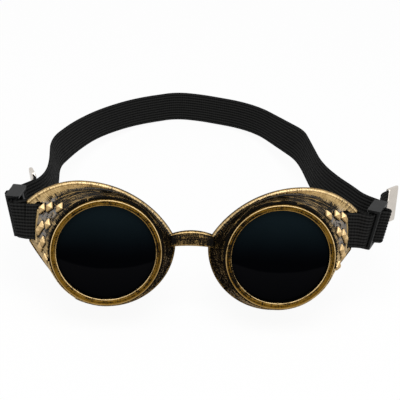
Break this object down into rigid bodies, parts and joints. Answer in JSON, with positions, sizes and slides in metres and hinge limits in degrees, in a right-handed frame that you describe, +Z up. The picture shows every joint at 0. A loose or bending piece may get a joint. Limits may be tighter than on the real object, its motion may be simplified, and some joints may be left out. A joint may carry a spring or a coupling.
{
  "type": "steampunk goggles",
  "caption": "Cat-eye cup goggles in antique gold with round screw-on bezels, dark lenses, diamond studs, a nose bridge and a ribbed elastic head strap with sliders.",
  "frame": {"origin": "on the ground under the middle of the object's footprint, with the goggles resting on the rims of the cups and the back of the strap", "axes": "+X to the right as seen from the front, +Y backwards from the lenses to the back of the strap, +Z up"},
  "size_m": [0.2132, 0.2204, 0.0693],
  "materials": {
    "antique_gold": "black moulding dry-brushed in antique gold, worn bright on its edges",
    "bezel_gold": "antique gold ring with dark speckle and bright worn crests",
    "stud_gold": "bright worn gold pyramids",
    "dark_lens": "near-black glossy lens",
    "black_webbing": "matt black ribbed elastic webbing",
    "black_plastic": "satin black plastic",
    "nickel": "folded nickel plate"
  },
  "bodies": {
    "frame": {"left_eyecup": "antique_gold", "right_eyecup": "antique_gold", "nose_bridge": "antique_gold", "left_studs": "stud_gold", "right_studs": "stud_gold", "strap": "black_webbing", "left_strap_tip": "nickel", "right_strap_tip": "nickel"},
    "left_lens_body": {"left_lens": "dark_lens"},
    "right_lens_body": {"right_lens": "dark_lens"},
    "left_bezel_body": {"left_bezel": "bezel_gold"},
    "right_bezel_body": {"right_bezel": "bezel_gold"},
    "left_slider_body": {"left_slider": "black_plastic"},
    "right_slider_body": {"right_slider": "black_plastic"}
  },
  "joints": [
    {"name": "left_lens_lift", "type": "slide", "parent": "frame", "child": "left_lens_body", "axis": [0, -0.9556, 0.2946], "range_m": [0, 0.004]},
    {"name": "left_bezel_turn", "type": "hinge", "parent": "left_lens_body", "child": "left_bezel_body", "pos_m": [-0.05414, -0.10207, 0.04193], "axis": [0, -0.9556, 0.2946], "range_deg": [0, 720]},
    {"name": "right_lens_lift", "type": "slide", "parent": "frame", "child": "right_lens_body", "axis": [0, -0.9556, 0.2946], "range_m": [0, 0.004]},
    {"name": "right_bezel_turn", "type": "hinge", "parent": "right_lens_body", "child": "right_bezel_body", "pos_m": [0.03386, -0.10207, 0.04193], "axis": [0, -0.9556, 0.2946], "range_deg": [0, 720]},
    {"name": "left_slider_run", "type": "slide", "parent": "frame", "child": "left_slider_body", "axis": [0.1736, 0.9663, -0.1901], "range_m": [0, 0.0025]},
    {"name": "right_slider_run", "type": "slide", "parent": "frame", "child": "right_slider_body", "axis": [0.4384, 0.8819, -0.1735], "range_m": [0, 0.0025]}
  ],
  "couplings": [
    {"joint": "left_bezel_turn", "follows": "left_lens_lift", "rad_per_m": 3141.5},
    {"joint": "right_bezel_turn", "follows": "right_lens_lift", "rad_per_m": 3141.5}
  ]
}
